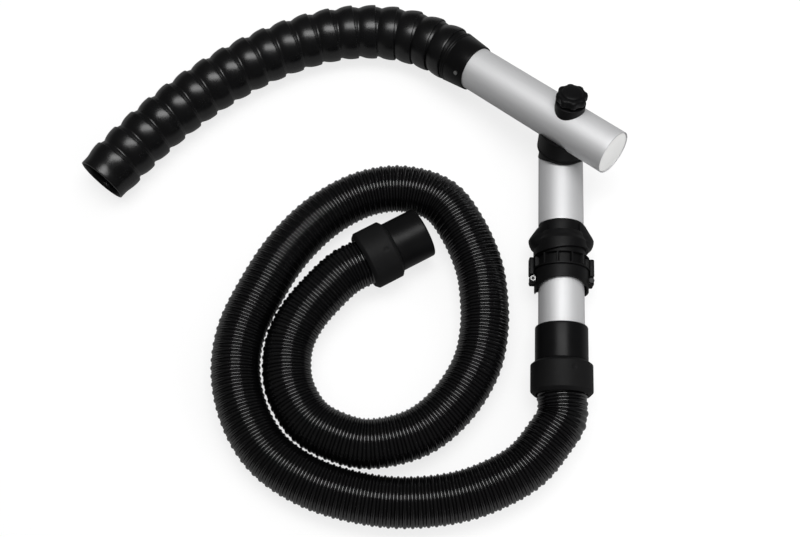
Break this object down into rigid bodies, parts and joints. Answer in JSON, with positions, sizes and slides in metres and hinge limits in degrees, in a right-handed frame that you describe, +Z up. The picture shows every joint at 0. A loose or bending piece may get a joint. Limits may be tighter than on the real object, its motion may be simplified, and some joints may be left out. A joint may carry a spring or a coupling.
{
  "type": "fume extraction arm",
  "caption": "Bench fume extraction arm: a stay-put ball-jointed neck on an aluminium tube, a knob-clamped swivel, a mast with a twist coupling, and a ribbed suction hose with end cuffs.",
  "frame": {"origin": "on the bench, under the middle of the arm without its hose", "axes": "+Z up from the bench, +Y along the mast from the hose towards the swivel, +X to the plugged end of the upper tube"},
  "size_m": [0.6056, 0.6034, 0.1307],
  "materials": {
    "aluminium_tube": "satin anodised",
    "steel": "zinc plated",
    "gloss_black": "glossy moulded",
    "matt_black": "fine moulded texture",
    "hose_black": "glossy ribbed",
    "seal_rubber": "matt",
    "pale_nylon": "natural"
  },
  "bodies": {
    "post": {"cuff_sleeve": "gloss_black", "cuff_nut": "matt_black", "lower_tube": "aluminium_tube", "coupling_body": "matt_black", "clamp_half_top": "matt_black", "clamp_half_bottom": "matt_black", "clamp_screw_left": "steel", "clamp_nut_left": "steel", "clamp_screw_right": "steel", "clamp_nut_right": "steel", "coupling_seal": "seal_rubber", "suction_hose": "hose_black", "end_cuff_sleeve": "gloss_black", "end_cuff_nut": "matt_black"},
    "collar": {"lock_collar": "matt_black"},
    "mast": {"mast_ferrule": "matt_black", "mast_tube": "aluminium_tube", "swivel_head": "matt_black", "head_nut": "steel"},
    "upper_arm": {"swivel_washer": "matt_black", "saddle": "matt_black", "upper_tube": "aluminium_tube", "end_plug": "pale_nylon", "knob_seat": "matt_black", "knob_washer": "steel", "neck_cuff": "matt_black", "neck_cuff_screw": "steel"},
    "knob": {"clamp_knob": "matt_black", "clamp_bolt": "steel"},
    "neck_01": {"neck_ring_01": "gloss_black"},
    "neck_02": {"neck_ring_02": "gloss_black"},
    "neck_03": {"neck_ring_03": "gloss_black"},
    "neck_04": {"neck_ring_04": "gloss_black"},
    "neck_05": {"neck_ring_05": "gloss_black"},
    "neck_06": {"neck_ring_06": "gloss_black"},
    "neck_07": {"neck_ring_07": "gloss_black"},
    "neck_08": {"neck_ring_08": "gloss_black"},
    "neck_09": {"neck_ring_09": "gloss_black"},
    "neck_10": {"neck_ring_10": "gloss_black"},
    "neck_11": {"neck_ring_11": "gloss_black"},
    "neck_12": {"neck_ring_12": "gloss_black"},
    "neck_13": {"neck_ring_13": "gloss_black"},
    "neck_14": {"neck_ring_14": "gloss_black"},
    "neck_15": {"neck_ring_15": "gloss_black"},
    "neck_16": {"neck_ring_16": "gloss_black"},
    "neck_17": {"neck_ring_17": "gloss_black"},
    "neck_18": {"neck_ring_18": "gloss_black"},
    "mouth": {"neck_mouth": "gloss_black"}
  },
  "joints": [
    {"name": "collar_twist", "type": "hinge", "parent": "post", "child": "collar", "pos_m": [0.23886, -0.06467, 0.0333], "axis": [0, 1, 0], "range_deg": [0, 45]},
    {"name": "mast_turn", "type": "hinge", "parent": "post", "child": "mast", "pos_m": [0.23886, -0.05567, 0.0333], "axis": [0, 1, 0], "range_deg": [0, 120]},
    {"name": "arm_swivel", "type": "hinge", "parent": "mast", "child": "upper_arm", "pos_m": [0.23886, 0.05146, 0.05397], "axis": [0, 0.342, 0.9397], "range_deg": [0, 150]},
    {"name": "knob_turn", "type": "hinge", "parent": "upper_arm", "child": "knob", "pos_m": [0.23886, 0.07581, 0.12088], "axis": [0, 0.342, 0.9397], "continuous": true},
    {"name": "neck_bend_01", "type": "hinge", "parent": "upper_arm", "child": "neck_01", "pos_m": [0.1083, 0.16878, 0.04447], "axis": [-0.177, 0.0672, 0.9819], "range_deg": [-17.2, 3.8]},
    {"name": "neck_bend_02", "type": "hinge", "parent": "neck_01", "child": "neck_02", "pos_m": [0.08769, 0.18179, 0.03987], "axis": [-0.1391, 0.0433, 0.9893], "range_deg": [-18.9, 2.1]},
    {"name": "neck_bend_03", "type": "hinge", "parent": "neck_02", "child": "neck_03", "pos_m": [0.06522, 0.19165, 0.03628], "axis": [-0.0979, 0.0252, 0.9949], "range_deg": [-20.5, 0.5]},
    {"name": "neck_bend_04", "type": "hinge", "parent": "neck_03", "child": "neck_04", "pos_m": [0.04124, 0.19746, 0.03377], "axis": [-0.0539, 0.0146, 0.9984], "range_deg": [-19.7, 1.3]},
    {"name": "neck_bend_05", "type": "hinge", "parent": "neck_04", "child": "neck_05", "pos_m": [0.01655, 0.19935, 0.03241], "axis": [-0.0087, 0.0111, 0.9999], "range_deg": [-18.8, 2.2]},
    {"name": "neck_bend_06", "type": "hinge", "parent": "neck_05", "child": "neck_06", "pos_m": [-0.00819, 0.19767, 0.03222], "axis": [-0.0087, 0.0111, 0.9999], "range_deg": [-17.8, 3.2]},
    {"name": "neck_bend_07", "type": "hinge", "parent": "neck_06", "child": "neck_07", "pos_m": [-0.03252, 0.19287, 0.03206], "axis": [-0.0087, 0.0111, 0.9999], "range_deg": [-16.7, 4.3]},
    {"name": "neck_bend_08", "type": "hinge", "parent": "neck_07", "child": "neck_08", "pos_m": [-0.05619, 0.18546, 0.03193], "axis": [-0.0087, 0.0111, 0.9999], "range_deg": [-15.6, 5.4]},
    {"name": "neck_bend_09", "type": "hinge", "parent": "neck_08", "child": "neck_09", "pos_m": [-0.0791, 0.17598, 0.03184], "axis": [-0.0087, 0.0111, 0.9999], "range_deg": [-14.5, 6.5]},
    {"name": "neck_bend_10", "type": "hinge", "parent": "neck_09", "child": "neck_10", "pos_m": [-0.1013, 0.16492, 0.03177], "axis": [-0.0087, 0.0111, 0.9999], "range_deg": [-14.3, 6.7]},
    {"name": "neck_bend_11", "type": "hinge", "parent": "neck_10", "child": "neck_11", "pos_m": [-0.12272, 0.15241, 0.03172], "axis": [-0.0087, 0.0111, 0.9999], "range_deg": [-14, 7]},
    {"name": "neck_bend_12", "type": "hinge", "parent": "neck_11", "child": "neck_12", "pos_m": [-0.14333, 0.13863, 0.0317], "axis": [-0.0087, 0.0111, 0.9999], "range_deg": [-13.8, 7.2]},
    {"name": "neck_bend_13", "type": "hinge", "parent": "neck_12", "child": "neck_13", "pos_m": [-0.16312, 0.12367, 0.03169], "axis": [-0.0087, 0.0111, 0.9999], "range_deg": [-13.6, 7.4]},
    {"name": "neck_bend_14", "type": "hinge", "parent": "neck_13", "child": "neck_14", "pos_m": [-0.18206, 0.10767, 0.0317], "axis": [-0.0087, 0.0111, 0.9999], "range_deg": [-13.3, 7.7]},
    {"name": "neck_bend_15", "type": "hinge", "parent": "neck_14", "child": "neck_15", "pos_m": [-0.20021, 0.09077, 0.03173], "axis": [-0.0087, 0.0111, 0.9999], "range_deg": [-13.2, 7.8]},
    {"name": "neck_bend_16", "type": "hinge", "parent": "neck_15", "child": "neck_16", "pos_m": [-0.21754, 0.07303, 0.03178], "axis": [-0.0087, 0.0111, 0.9999], "range_deg": [-13, 8]},
    {"name": "neck_bend_17", "type": "hinge", "parent": "neck_16", "child": "neck_17", "pos_m": [-0.23407, 0.05455, 0.03184], "axis": [-0.0087, 0.0111, 0.9999], "range_deg": [-12.8, 8.2]},
    {"name": "neck_bend_18", "type": "hinge", "parent": "neck_17", "child": "neck_18", "pos_m": [-0.24986, 0.03542, 0.03192], "axis": [-0.0087, 0.0111, 0.9999], "range_deg": [-12.7, 8.3]},
    {"name": "neck_bend_19", "type": "hinge", "parent": "neck_18", "child": "mouth", "pos_m": [-0.26489, 0.01569, 0.032], "axis": [-0.0087, 0.0111, 0.9999], "range_deg": [-12.5, 8.5]}
  ]
}
